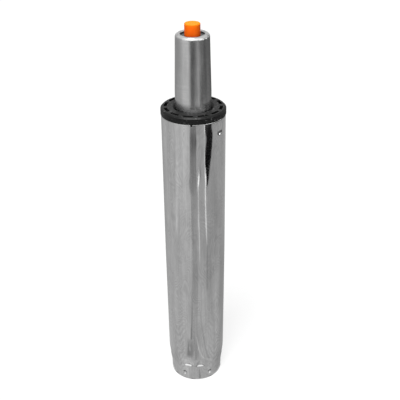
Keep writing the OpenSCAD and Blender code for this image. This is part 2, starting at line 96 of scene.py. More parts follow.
# Guide sleeve
flange_r = sleeve_high.x
flange_top = sleeve_high.z
flange_chamfer = 1.2 * MM
sleeve_r = column_r - column_wall - 0.05 * MM
sleeve_bore_r = 14.05 * MM
lead_in = 1.9 * MM
lead_in_depth = 1.2 * lead_in
bore_chamfer = 1 * MM
nose_w, nose_h = 1 * MM, 2 * MM
parting_line_half_w = 0.2 * MM
parting_line_depth = 0.14 * MM
flange_round = 0.16 * MM
slot_count = 12
slot_bearing = -11
slot_deg = 21
slot_depth = 7 * MM
slot_out_r = sleeve_r - 0.65 * MM
slot_in_r = slot_out_r - 2.4 * MM
core_r = sleeve_bore_r + 3.6 * MM
band_low_top = sleeve_low.z + 15 * MM
band_high_low = column_top - 23 * MM
rib_t = 2 * MM
rib_play = 0.1 * MM
overlap = 1 * MM
stake_groove_depth = dent_depth + 0.1 * MM
stake_groove_half_h = dent_d / 2 + 0.2 * MM
key_bearing = -4
key_w = 1.2 * MM
key_h = 1.6 * MM
key_play = 0.1 * MM
key_round = 0.1 * MM
notch_half = math.degrees((key_w / 2 + key_play) / column_r)

# Pressure tube and button
tube_facets = 256
tube_step = 20 * MM
button_facets = 128
button_step = 2 * MM
tube_r = tube_high.x
tube_wall = 1.5 * MM
tube_taper_z = tube_high.z - 43.8 * MM
taper_rate = math.tan(math.radians(1.438))
foot_roll = 1.2 * MM
rim_roll = 2.5 * MM
rim_slope = math.radians(22)
rim_reach = rim_roll / math.tan((math.pi / 2 - rim_slope) / 2)
rim_r = tube_r - taper_rate * (tube_high.z - tube_taper_z - rim_roll)
rim_inner_r = tube_r - taper_rate * (tube_high.z - tube_taper_z) - tube_wall
rim_bore_r = 9.1 * MM
mouth_round = 0.7 * MM
foot_bore_r = 9.5 * MM
tube_bore_r = tube_r - tube_wall
button_r = 5.95 * MM
collar_r = button_high.x
collar_top = button_low.z + 3 * MM
button_chamfer = 0.5 * MM
button_softening = 0.2 * MM
button_dish = 0.12 * MM
pin_hole_r = 2.05 * MM
pin_play = 0.1 * MM


def at(bearing, radius, z):
    """A point from its bearing, in degrees to the right of the front, its radius and its height."""
    turn = math.radians(bearing)
    return Vector((radius * math.sin(turn), -radius * math.cos(turn), z))


def arc(before, corner, after, reach, steps=8):
    """Points of the arc that rounds a corner, from reach before it to reach after it."""
    before, corner, after = Vector(before), Vector(corner), Vector(after)
    u = (before - corner).normalized()
    w = (after - corner).normalized()
    half = u.angle(w) / 2
    centre = corner + (u + w).normalized() * reach / math.cos(half)
    start = corner + u * reach - centre
    turn = -math.copysign(math.pi - 2 * half, u.x * w.y - u.y * w.x)
    return [tuple(centre + Matrix.Rotation(turn * i / steps, 2) @ start) for i in range(steps + 1)]


def filled(outline, step):
    """The outline with points added on its long edges, so that none is longer than step."""
    points = []
    for a, b in zip(outline, outline[1:]):
        a, b = Vector(a), Vector(b)
        count = max(1, math.ceil((b - a).length / step))
        points += [tuple(a.lerp(b, i / count)) for i in range(count)]
    return points + [tuple(outline[-1])]


def new_object(name, vertices, faces, merge=0.0):
    """A smooth-shaded object, with points closer than merge joined."""
    mesh = bpy.data.meshes.new(name)
    mesh.from_pydata(vertices, [], faces)
    mesh.validate()
    mesh.shade_smooth()
    piece = bpy.data.objects.new(name, mesh)
    bpy.context.scene.collection.objects.link(piece)
    if merge:
        weld = piece.modifiers.new("weld", "WELD")
        weld.merge_threshold = merge
    return piece


def lathe_faces(rows, columns, skip=()):
    """Faces of a closed outline of so many points, turned through so many bearings."""
    faces = []
    for i in range(rows):
        for j in range(columns):
            if (i, j) in skip:
                continue
            a, b = i * columns, (i + 1) % rows * columns
            k = (j + 1) % columns
            faces.append((a + j, b + j, b + k, a + k))
    return faces


def lathe(name, outline, bearings, push=None):
    """A solid of revolution from a closed outline of (radius, height), inner side first.
    push moves a point by its bearing, radius and height, and gives its new radius and height."""
    vertices = []
    for bearing in bearings:
        for radius, z in outline:
            if push:
                radius, z = push(bearing, radius, z)
            vertices.append(at(bearing, radius, z))
    return new_object(name, vertices, lathe_faces(len(bearings), len(outline)), merge=1e-6)


def round_edges(piece, width, angle=35):
    """Rounds the edges that are sharper than an angle in degrees."""
    bevel = piece.modifiers.new("bevel", "BEVEL")
    bevel.width = width
    bevel.segments = 2
    bevel.limit_method = "ANGLE"
    bevel.angle_limit = math.radians(angle)
    piece.data.set_sharp_from_angle(angle=math.radians(60))


def turns(count, start=0.0):
    """Bearings spaced evenly round the axis."""
    return [start + 360 * i / count for i in range(count)]


def apart(bearing, other):
    """The angle between two bearings, in degrees, from -180 to 180."""
    return (bearing - other + 180) % 360 - 180


def ball_dent(distance, d, depth):
    """How deep a ball has pressed at this distance from the middle of its dent."""
    ball = (d * d / 4 + depth * depth) / (2 * depth)
    if distance >= d / 2:
        return 0.0
    return math.sqrt(ball * ball - distance * distance) - (ball - depth)


# Column tube
def column_push(bearing, radius, z):
    """Presses the dents, the dimples and the jaws' groove into the column, and cuts the key's notch."""
    if abs(z - dent_z) < dent_d:
        for dent in dent_bearings:
            across = math.radians(apart(bearing, dent)) * column_r
            radius -= ball_dent(math.hypot(across, z - dent_z), dent_d, dent_depth)
    if abs(z - dimple_z) < dimple_d:
        for dimple in dimple_bearings:
            distance = math.hypot(math.radians(apart(bearing, dimple)) * neck_r, z - dimple_z)
            radius -= ball_dent(distance, dimple_d, dimple_depth)
            radius -= ball_dent(distance, dimple_dish_d, dimple_dish_depth)
    share = (z - groove_z) / groove_above if z > groove_z else (groove_z - z) / groove_below
    if share < 1:
        turn = (bearing - jaw_bearing) / 360 * len(jaw_depths)
        pressed = jaw_depths[round(turn) % len(jaw_depths)] * abs(math.cos(math.pi * turn)) ** jaw_rounding
        radius -= pressed * (1 - share ** groove_rounding)
    if z > column_top - key_h and abs(apart(bearing, key_bearing)) < notch_half:
        z = min(z, column_top - key_h - key_play)
    return radius, z


def column_outline():
    """The column's outline, with closer points where column_push gives it relief."""
    foot, neck = (neck_r, 0), (neck_r, neck_z)
    corner, start = (shoulder_r, shoulder_z), (column_r, taper_z)
    foot_arc = arc((0, 0), foot, neck, edge_round, 4)
    neck_arc = arc(foot, neck, corner, neck_reach, 8)
    shoulder_arc = arc(neck, corner, start, shoulder_reach, 24)
    rim = arc((column_r, 0), (column_r, column_top), (0, column_top), edge_round, 5)
    lower = filled(foot_arc + neck_arc + shoulder_arc, neck_step)
    below_dent = (column_r, dent_z - dent_d)
    middle = filled([shoulder_arc[-1], start, below_dent], plain_step)[1:]
    upper = filled([below_dent, rim[0]], dent_step)[1:]
    bore = column_r - column_wall
    inner = [(bore, column_top), (bore, column_top - key_h - key_play), (bore, dent_z + dent_d / 2)]
    inner += filled([(bore, dent_z + dent_d / 2), (bore, dent_z - dent_d / 2)], inner_step)[1:]
    inner += [(bore, taper_z), (shoulder_r - column_wall, shoulder_z + shoulder_reach)]
    inner += [(neck_r - column_wall, neck_z), (neck_r - column_wall, 0)]
    return lower + middle + upper + rim[1:] + inner


def column_shell():
    """The column, with two bearings close together at each side of the notch to keep it sharp."""
    half_gap = 0.02
    bearings = turns(column_facets, key_bearing)
    for side in (-1, 1):
        bearings += [key_bearing + side * (notch_half + gap) for gap in (-half_gap, half_gap)]
    return lathe("column_shell", column_outline(), sorted(bearings), column_push)


# Guide sleeve
def sleeve_outline():
    """The sleeve's outline, and the place in it of the edge that the slots cut."""
    groove_r = sleeve_r - stake_groove_depth
    groove_low, groove_high = dent_z - stake_groove_half_h, dent_z + stake_groove_half_h
    points = [
        (sleeve_bore_r, sleeve_low.z + bore_chamfer), (sleeve_bore_r + bore_chamfer, sleeve_low.z),
        (sleeve_r - nose_w, sleeve_low.z), (sleeve_r, sleeve_low.z + nose_h),
        (sleeve_r, band_low_top), (core_r, band_low_top), (core_r, band_high_low),
        (sleeve_r, band_high_low), (sleeve_r, groove_low), (groove_r, groove_low),
        (groove_r, groove_high), (sleeve_r, groove_high), (sleeve_r, column_top),
        (flange_r, column_top)]
    # Fine parting lines round the flange
    for share in (0.3, 0.52, 0.74):
        z = column_top + (flange_top - flange_chamfer - column_top) * share
        points += [(flange_r, z - parting_line_half_w), (flange_r - parting_line_depth, z),
                   (flange_r, z + parting_line_half_w)]
    points += [(flange_r, flange_top - flange_chamfer), (flange_r - flange_chamfer, flange_top),
               (slot_out_r, flange_top)]
    slot_edge = len(points) - 1
    points += [(slot_in_r, flange_top), (sleeve_bore_r + lead_in, flange_top),
               (sleeve_bore_r, flange_top - lead_in_depth)]
    return points, slot_edge


def guide_flange():
    """The sleeve turned from its outline, with the slots sunk into the top of its flange."""
    pitch = 360 / slot_count
    slot_parts, land_parts = 7, 3
    bearings, in_slot = [], []
    for i in range(slot_count):
        start = slot_bearing - slot_deg / 2 + i * pitch
        bearings += [start + slot_deg * k / slot_parts for k in range(slot_parts)]
        bearings += [start + slot_deg + (pitch - slot_deg) * k / land_parts for k in range(land_parts)]
        in_slot += [True] * slot_parts + [False] * land_parts
    outline, slot_edge = sleeve_outline()
    columns, rows = len(outline), len(bearings)
    vertices = [at(bearing, radius, z) for bearing in bearings for radius, z in outline]
    faces = lathe_faces(rows, columns, skip={(i, slot_edge) for i in range(rows) if in_slot[i]})
    floor = {}
    for i in range(rows):
        if in_slot[i] or in_slot[i - 1]:
            floor[i] = len(vertices)
            vertices += [at(bearings[i], radius, flange_top - slot_depth)
                         for radius in (slot_out_r, slot_in_r)]
    for i in range(rows):
        if not in_slot[i]:
            continue
        j = (i + 1) % rows
        a, b = i * columns + slot_edge, j * columns + slot_edge
        c, d = floor[i], floor[j]
        faces += [(a, b, d, c), (c, d, d + 1, c + 1), (c + 1, d + 1, b + 1, a + 1)]
        if not in_slot[i - 1]:
            faces.append((a, c, c + 1, a + 1))
        if not in_slot[j]:
            faces.append((b, b + 1, d + 1, d))
    piece = new_object("guide_flange", vertices, faces)
    round_edges(piece, flange_round, 30)
    return piece


def block(name, bearing, inner, outer, width, low, high):
    """A straight-sided block that points away from the axis at a bearing."""
    along, aside = at(bearing, 1, 0), at(bearing + 90, 1, 0)
    vertices = [along * r + aside * s * width / 2 + Vector((0, 0, z))
                for z in (low, high) for r, s in ((inner, -1), (outer, -1), (outer, 1), (inner, 1))]
    faces = [(3, 2, 1, 0), (4, 5, 6, 7), (0, 1, 5, 4), (1, 2, 6, 5), (2, 3, 7, 6), (3, 0, 4, 7)]
    piece = new_object(name, vertices, faces)
    piece.data.set_sharp_from_angle(angle=math.radians(30))
    return piece


def sleeve_ribs_and_key():
    """The ribs on the sleeve's core between its bands, and the key that stands in the column's notch."""
    ribs = [block(f"sleeve_rib_{i + 1}", slot_bearing + (i + 0.5) * 360 / slot_count, core_r - overlap,
                  sleeve_r - rib_play, rib_t, band_low_top - overlap, band_high_low + overlap)
            for i in range(slot_count)]
    key = block("sleeve_key", key_bearing, sleeve_r - overlap, column_r - key_play, key_w,
                column_top - key_h, column_top + overlap)
    round_edges(key, key_round)
    return ribs + [key]


# Pressure tube
def tube_shell():
    """The gas spring's outer tube, with its rolled foot, its taper and its rolled rim."""
    top, low = tube_high.z, tube_low.z
    outline = [(foot_bore_r, low)]
    outline += arc((foot_bore_r, low), (tube_r, low), (tube_r, top), foot_roll, 8)
    outline += filled([(tube_r, low + 5 * MM), (tube_r, tube_taper_z)], tube_step)
    corner = (rim_r, top - rim_roll + rim_reach)
    edge = (rim_bore_r, corner[1] - (rim_r - rim_bore_r) * math.tan(rim_slope))
    outline += arc((rim_r, tube_taper_z), corner, edge, rim_reach, 24)
    outline += arc(corner, edge, (rim_bore_r, low), mouth_round, 6)
    outline += [(rim_bore_r, washer_high.z), (rim_inner_r, washer_high.z), (tube_bore_r, tube_taper_z),
                (tube_bore_r, end_washer_low.z), (foot_bore_r, end_washer_low.z)]
    piece = lathe("tube_shell", outline, turns(tube_facets))
    piece.data.set_sharp_from_angle(angle=math.radians(50))
    return piece


def paint_mouth_shade(piece):
    """Gives the inner faces of the tube's mouth the dark spring steel finish, as painted shade inside the
    mouth.
    """
    piece.data.materials.append(materials["spring_steel"])
    for face in piece.data.polygons:
        if face.center.xy.length < rim_bore_r + 0.1 * MM:
            face.material_index = 1


# Release button
def button_cap():
    """The button with its collar, its blind hole for the pin and the shallow dish in its top."""
    top, low = button_high.z, button_low.z
    outline = [(pin_hole_r, low), (collar_r, low), (collar_r, collar_top), (button_r, collar_top)]
    flat_r = button_r - button_chamfer
    side, edge = (button_r, top - button_chamfer), (flat_r, top)
    corners = arc((button_r, collar_top), side, edge, button_softening, 4)
    corners += arc(side, edge, (0, top), button_softening, 4)
    outline += filled([(button_r, collar_top), corners[0]], button_step)[1:-1] + corners
    outline += [(flat_r * share, top - button_dish * (1 - share * share))
                for share in (0.8, 0.6, 0.4, 0.2, 0)]
    outline += [(0, pin_high.z + pin_play), (pin_hole_r, pin_high.z + pin_play)]
    piece = lathe("button_cap", outline, turns(button_facets))
    piece.data.set_sharp_from_angle(angle=math.radians(50))
    return piece


# Materials
def new_material(name):
    """A new material, its node tree and its shader."""
    material = bpy.data.materials.new(name)
    material.use_nodes = True
    tree = material.node_tree
    return material, tree, tree.nodes["Principled BSDF"]


def bare_material(name):
    """A new material and its node tree, which is empty."""
    material, tree = new_material(name)[:2]
    tree.nodes.clear()
    return material, tree


def node(tree, kind, inputs=None, **settings):
    """A new node with its settings, and its inputs by name: a number, a colour or another node's output."""
    made = tree.nodes.new("ShaderNode" + kind)
    for key, value in settings.items():
        setattr(made, key, value)
    for key, value in (inputs or {}).items():
        if isinstance(value, bpy.types.NodeSocket):
            tree.links.new(value, made.inputs[key])
        else:
            made.inputs[key].default_value = value
    return made


def maths(tree, operation, *values):
    """The result of a maths node, from numbers or other nodes' outputs."""
    return node(tree, "Math", dict(enumerate(values)), operation=operation).outputs[0]


def product(tree, first, *others):
    for other in others:
        first = maths(tree, "MULTIPLY", first, other)
    return first


def position(tree):
    """X, Y and Z in the object's own space, in metres."""
    return node(tree, "SeparateXYZ", {0: node(tree, "TexCoord").outputs["Object"]}).outputs


def grain(tree, size, stretch=(1, 1, 1), detail=3.0, roughness=0.5, distortion=0.0):
    """Noise from 0 to 1 in the object's own space. size is its grain in metres."""
    place = node(tree, "TexCoord").outputs["Object"]
    mapped = node(tree, "Mapping", {"Vector": place, "Scale": stretch})
    return node(tree, "TexNoise", {
        "Vector": mapped.outputs[0], "Scale": 1 / size, "Detail": detail, "Roughness": roughness,
        "Distortion": distortion}).outputs["Fac"]


def span(tree, value, low, high, start_at=0.35, end_at=0.65):
    """Low up to the value start_at, high from end_at on, and a straight run between them."""
    return node(tree, "MapRange", {
        "Value": value, "From Min": start_at, "From Max": end_at, "To Min": low,
        "To Max": high}).outputs["Result"]


def blend(tree, share, first, second):
    """A colour between two others: a share of 0 gives the first, 1 the second."""
    mixed = node(tree, "Mix", data_type="RGBA")
    for key, value in (("Factor", share), ("A", first), ("B", second)):
        sockets = [s for s in mixed.inputs if s.name == key and s.enabled]
        if isinstance(value, bpy.types.NodeSocket):
            tree.links.new(value, sockets[0])
        elif isinstance(value, (int, float)):
            sockets[0].default_value = value
        else:
            sockets[0].default_value = (*value, 1)
    return [s for s in mixed.outputs if s.enabled][0]


def bump(tree, height, depth, before=None):
    """Relief of this depth in metres, over an earlier relief where there is one."""
    inputs = {"Height": height, "Distance": depth, "Strength": 1.0}
    if before:
        inputs["Normal"] = before
    return node(tree, "Bump", inputs).outputs["Normal"]


def connect(tree, shader, **inputs):
    """Sets or links a shader's inputs, with underscores for the spaces in their names."""
    for key, value in inputs.items():
        socket = shader.inputs[key.replace("_", " ")]
        if isinstance(value, bpy.types.NodeSocket):
            tree.links.new(value, socket)
        else:
            socket.default_value = value


def grey(value):
    return (value, value, value)


def chrome_column():
    """Chrome plate over drawn tube: streaks, clouds and lines along the axis, and painted shade in the
    hollows.
    """
    material, tree, shader = new_material("chrome_column")
    streaks = grain(tree, 0.9 * MM, (1, 1, 0.02), 4)
    broad = grain(tree, 5 * MM, (1, 1, 0.05), 2)
    clouds = grain(tree, 7 * MM, (1, 1, 0.45), 6, 0.62, 1.5)
    mixed = blend(tree, span(tree, streaks, 0, 1), grey(0.345), grey(0.415))
    mixed = blend(tree, span(tree, clouds, 0, 0.55), mixed, grey(0.29))
    mixed = blend(tree, span(tree, broad, 0, 0.4), mixed, grey(0.47))
    mixed = blend(tree, flow_lines(tree), mixed, grey(0.27))
    mixed = blend(tree, rising_lines(tree), mixed, grey(0.26))
    # Painted shade, nearly black, under the upper edges of the hollows in the neck
    mixed = blend(tree, painted_hollow_shade(tree), mixed, grey(0.03))
    wave = bump(tree, grain(tree, 14 * MM, (1, 1, 0.5), 2), 0.12 * MM)
    fine = bump(tree, streaks, 0.004 * MM, wave)
    connect(tree, shader, Base_Color=mixed, Metallic=1.0, Roughness=span(tree, streaks, 0.05, 0.09),
            Normal=fine)
    return material


def flow_lines(tree):
    """Thin wavering lines, as the level lines of a slow noise, drawn out along the axis."""
    radians_per_noise = 210.0
    slow = grain(tree, 20 * MM, (1, 1, 0.42), 2.0, 0.4, 0.8)
    line = maths(tree, "SINE", maths(tree, "MULTIPLY", slow, radians_per_noise))
    patchy = span(tree, grain(tree, 11 * MM, (1, 1, 0.4), 2), 0.05, 0.6)
    shown = span(tree, line, 0.0, 1.0, -1.0, 1.0)
    return product(tree, shown, patchy)


def rising_lines(tree):
    """Faint lines low down that rise to both sides from their tips."""
    tips_bearing, tip_rounding = math.radians(41), 0.006
    pitch, rise, wander = 7 * MM, 46 * MM, 10.5 * MM
    place = position(tree)
    bearing = maths(tree, "ARCTAN2", place["X"], maths(tree, "MULTIPLY", place["Y"], -1.0))
    offset = maths(tree, "SUBTRACT", maths(tree, "ABSOLUTE", bearing), tips_bearing)
    aside = maths(tree, "SQRT", maths(tree, "MULTIPLY_ADD", offset, offset, tip_rounding))
    drop = maths(tree, "MULTIPLY_ADD", aside, -rise, place["Z"])
    slow = grain(tree, 12 * MM, (1, 1, 0.7), 3, 0.5, 0.6)
    bent = maths(tree, "MULTIPLY_ADD", slow, wander, drop)
    wave = maths(tree, "SINE", maths(tree, "MULTIPLY", bent, math.tau / pitch))
    crest = span(tree, wave, 0.0, 0.5, -0.4, 1.0)
    low_down = span(tree, place["Z"], 1.0, 0.0, 62 * MM, 85 * MM)
    near_tips = span(tree, aside, 1.0, 0.0, 0.2, 0.45)
    patchy = span(tree, grain(tree, 9 * MM, (1, 1, 0.6), 2), 0.1, 1.0, 0.4, 0.6)
    return product(tree, crest, low_down, near_tips, patchy)


def painted_hollow_shade(tree):
    """Painted shade: darker under the upper edges of the hollows in the neck, where the face turns down."""
    height = position(tree)["Z"]
    facing = node(tree, "SeparateXYZ", {0: node(tree, "NewGeometry").outputs["Normal"]}).outputs
    under = span(tree, facing["Z"], 0.0, 0.95, -0.14, -0.32)
    low_down = span(tree, height, 1.0, 0.0, 11 * MM, 14 * MM)
    above_foot = span(tree, height, 0.0, 1.0, 1 * MM, 3 * MM)
    return product(tree, under, low_down, above_foot)


def satin_steel():
    """Steel tube ground round its axis, so that what it mirrors is drawn out along it."""
    material, tree, shader = new_material("satin_steel")
    rings = grain(tree, 0.5 * MM, (0.03, 0.03, 1), 3)
    clouds = grain(tree, 6 * MM, (1, 1, 0.3), 4)
    mixed = blend(tree, span(tree, clouds, 0, 1), grey(0.34), grey(0.39))
    mixed = blend(tree, span(tree, rings, 0, 0.5), mixed, grey(0.31))
    relief = bump(tree, grain(tree, 5 * MM, (1, 1, 0.4), 2), 0.05 * MM)
    relief = bump(tree, rings, 0.004 * MM, relief)
    around = node(tree, "Tangent", direction_type="RADIAL", axis="Z").outputs[0]
    # Duller where the tube rests by the flange
    height = position(tree)["Z"]
    dull = span(tree, height, 0.07, 0.0, flange_top + 2 * MM, flange_top + 10 * MM)
    roughness = maths(tree, "ADD", span(tree, clouds, 0.155, 0.185), dull)
    connect(tree, shader, Base_Color=mixed, Metallic=1.0, Roughness=roughness,
            Anisotropic=0.85, Anisotropic_Rotation=0.25, Tangent=around, Normal=relief)
    return material


def moulded(name, dark, light, roughness, relief_size, relief_depth, sheen=0.35):
    """Moulded plastic or rubber with a faint grain and a few pale scuffs."""
    material, tree, shader = new_material(name)
    patches = grain(tree, 3 * MM, detail=5, roughness=0.6)
    fine = grain(tree, relief_size, detail=4)
    scuffs = span(tree, grain(tree, 1.6 * MM, detail=2), 0.0, 1.0, 0.63, 0.7)
    mixed = blend(tree, span(tree, patches, 0, 1), dark, light)
    mixed = blend(tree, scuffs, mixed, grey(4 * light[0] + 0.05))
    connect(tree, shader, Base_Color=mixed,
            Roughness=span(tree, patches, roughness - 0.06, roughness + 0.08),
            Specular_IOR_Level=sheen, Normal=bump(tree, fine, relief_depth))
    return material


def turned_metal(name, dark, light, roughness, stretch=(1, 1, 1)):
    """Bare or plated metal with fine tool marks."""
    material, tree, shader = new_material(name)
    marks = grain(tree, 0.8 * MM, stretch, 4)
    clouds = grain(tree, 4 * MM, detail=5)
    mixed = blend(tree, span(tree, clouds, 0, 1), dark, light)
    connect(tree, shader, Base_Color=mixed, Metallic=1.0,
            Roughness=span(tree, marks, roughness - 0.05, roughness + 0.08),
            Normal=bump(tree, marks, 0.004 * MM))
    return material


def orange_plastic():
    """Moulded plastic, with painted light that makes it paler towards the top and painted shade that
    darkens it down by the collar.
    """
    material, tree, shader = new_material("orange_plastic")
    patches = grain(tree, 2.5 * MM, detail=4)
    fine = grain(tree, 0.35 * MM, detail=3)
    mixed = blend(tree, span(tree, patches, 0, 1), (0.90, 0.125, 0.001), (0.96, 0.150, 0.002))
    height = position(tree)["Z"]
    # Painted light: paler and yellower towards the top face
    painted_top_light = span(tree, height, 0.0, 1.0, button_high.z - 3 * MM, button_high.z - 0.3 * MM)
    mixed = blend(tree, painted_top_light, mixed, (0.97, 0.190, 0.003))
    # Painted shade: darker down towards the collar
    painted_collar_shade = span(tree, height, 0.7, 0.0, collar_top, button_high.z - 3 * MM)
    mixed = blend(tree, painted_collar_shade, mixed, (0.42, 0.038, 0.001))
    connect(tree, shader, Base_Color=mixed, Roughness=span(tree, patches, 0.4, 0.5),
            Specular_IOR_Level=0.04, Normal=bump(tree, fine, 0.006 * MM))
    return material


around_axis = (0.05, 0.05, 1)
materials = {
    "chrome_column": chrome_column(),
    "sleeve_plastic": moulded("sleeve_plastic", grey(0.0015), grey(0.005), roughness=0.42,
                              relief_size=0.5 * MM, relief_depth=0.02 * MM, sheen=0.1),
    "satin_steel": satin_steel(),
    "orange_plastic": orange_plastic(),
    "plain_steel": turned_metal("plain_steel", grey(0.36), grey(0.46), roughness=0.34),
    "bearing_steel": turned_metal("bearing_steel", grey(0.55), grey(0.62), roughness=0.14),
    "cage_brass": turned_metal("cage_brass", (0.68, 0.50, 0.24), (0.78, 0.60, 0.31), roughness=0.3),
    "rubber": moulded("rubber", grey(0.02), grey(0.035), roughness=0.62,
                      relief_size=0.4 * MM, relief_depth=0.02 * MM),
    "rod_chrome": turned_metal("rod_chrome", grey(0.62), grey(0.68), roughness=0.12, stretch=around_axis),
    # Very dark spring steel, dark enough to serve also as painted shade where it shows inside the tube's
    # mouth
    "spring_steel": turned_metal("spring_steel", grey(0.05), grey(0.09), roughness=0.4),
    "valve_metal": turned_metal("valve_metal", grey(0.52), grey(0.6), roughness=0.3, stretch=around_axis),
    "guide_plastic": moulded("guide_plastic", grey(0.09), grey(0.13), roughness=0.5,
                             relief_size=0.5 * MM, relief_depth=0.02 * MM),
}


def dress(piece, slot):
    """Gives a piece the finish of a material slot."""
    piece.data.materials.clear()
    piece.data.materials.append(materials[slot])


def add(piece, body, slot, *replaced):
    """Puts a new piece on its body, in its finish, in place of the CAD nodes that it stands for."""
    dress(piece, slot)
    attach(piece, body)
    if replaced:
        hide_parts(*replaced)


for part in frame["record"]["subparts"]:
    dress(nodes[part["node"]], part["material_slot"])

add(column_shell(), "column", "chrome_column", "column_tube")
add(guide_flange(), "column", "sleeve_plastic", "guide_sleeve")
for piece in sleeve_ribs_and_key():
    add(piece, "column", "sleeve_plastic")
tube = tube_shell()
add(tube, "lift_tube", "satin_steel", "pressure_tube")
# Painted shade inside the tube's mouth
paint_mouth_shade(tube)
add(button_cap(), "button", "orange_plastic", "release_button")


# Studio
def shown_ray(tree):
    """1 for rays from the camera, and for those that metal and glass send on, else 0."""
    path = node(tree, "LightPath").outputs
    first = maths(tree, "MAXIMUM", path["Is Camera Ray"], path["Is Glossy Ray"])
    return maths(tree, "MAXIMUM", first, path["Is Transmission Ray"])


def studio_floor():
    """A pale floor that keeps the object's shadow."""
    half, paint, own_light = 6.0, 0.12, 0.8
    corners = [(-half, -half, 0), (half, -half, 0), (half, half, 0), (-half, half, 0)]
    floor = new_object("studio_floor", corners, [(0, 1, 2, 3)])
    material, tree = bare_material("studio_floor")
    matte = node(tree, "BsdfDiffuse", {"Color": (*grey(paint), 1)})
    strength = maths(tree, "MULTIPLY", shown_ray(tree), own_light)
    glow = node(tree, "Emission", {"Color": (1, 1, 1, 1), "Strength": strength})
    both = node(tree, "AddShader", {0: matte.outputs[0], 1: glow.outputs[0]})
    node(tree, "OutputMaterial", {"Surface": both.outputs[0]})
    floor.data.materials.append(material)


def studio_world():
    """A white backdrop that lights the object less than it shows."""
    shown, lighting = 1.0, 0.35
    world = bpy.data.worlds.new("studio")
    bpy.context.scene.world = world
    world.use_nodes = True
    tree = world.node_tree
    tree.nodes.clear()
    strength = node(tree, "MapRange", {"Value": shown_ray(tree), "To Min": lighting, "To Max": shown})
    plain = node(tree, "Background", {"Color": (1, 1, 1, 1), "Strength": strength.outputs["Result"]})
    node(tree, "OutputWorld", {"Surface": plain.outputs[0]})


def card(name, rows, level):
    """A card that lies on the floor and is seen only in the metal. Each row has its distance from the
    axis, then the bearings across the card there, each with its brightness. A card covers those of
    lower levels."""
    split, lift = 8, level * 0.02 * MM
    vertices, shades = [], []
    for distance, stops in rows:
        for k in range((len(stops) - 1) * split + 1):
            i = min(k // split, len(stops) - 2)
            share = k / split - i
            (first, dim), (last, bright) = stops[i], stops[i + 1]
            vertices.append(at(first + (last - first) * share, distance, lift))
            shades.append(dim + (bright - dim) * share)
    across = len(vertices) // len(rows)
    faces = [(k, k + across, k + across + 1, k + 1)
             for row in range(len(rows) - 1) for k in range(row * across, row * across + across - 1)]
    piece = new_object(name, vertices, faces)
    piece.data.attributes.new("shade", "FLOAT", "POINT").data.foreach_set("value", shades)
    piece.data.materials.append(glow_material(name))
    only_mirrored(piece)


def glow_material(name, strength=None):
    """Plain light, of the strength given or of the mesh's own shade."""
    material, tree = bare_material(name)
    if strength is None:
        strength = node(tree, "Attribute", attribute_name="shade").outputs["Fac"]
    glow = node(tree, "Emission", {"Color": (1, 1, 1, 1), "Strength": strength})
    node(tree, "OutputMaterial", {"Surface": glow.outputs[0]})
    return material


def only_mirrored(piece):
    """Stages a card that shows in mirroring surfaces alone."""
    for ray in ("camera", "diffuse", "transmission", "volume_scatter", "shadow"):
        setattr(piece, "visible_" + ray, False)


def even(first, last, shade):
    """A stretch of a card that has one brightness."""
    return [(first, shade), (last, shade)]


def wing(bearings, *rows):
    """A wide card: the same bearings in each row, with the row's distance and brightness there."""
    return [(distance, list(zip(bearings, shades))) for distance, *shades in rows]


def band(edge, far_edge, outside, inside, beyond):
    """A row of the dark band in front: its edges, and the brightness on each side and within."""
    return [(left_edge, outside), (edge - 1.5, outside), (edge + 2.5, inside),
            (far_edge - 1, inside), (far_edge + 1, beyond)]


# Distances from the axis: the inner ends of the cards, the outer ends of the near ones, the far ones' ends
foot, end, far = 0.0235, 0.62, 8.0
# Where the band in front meets the card on its left
left_edge = -24


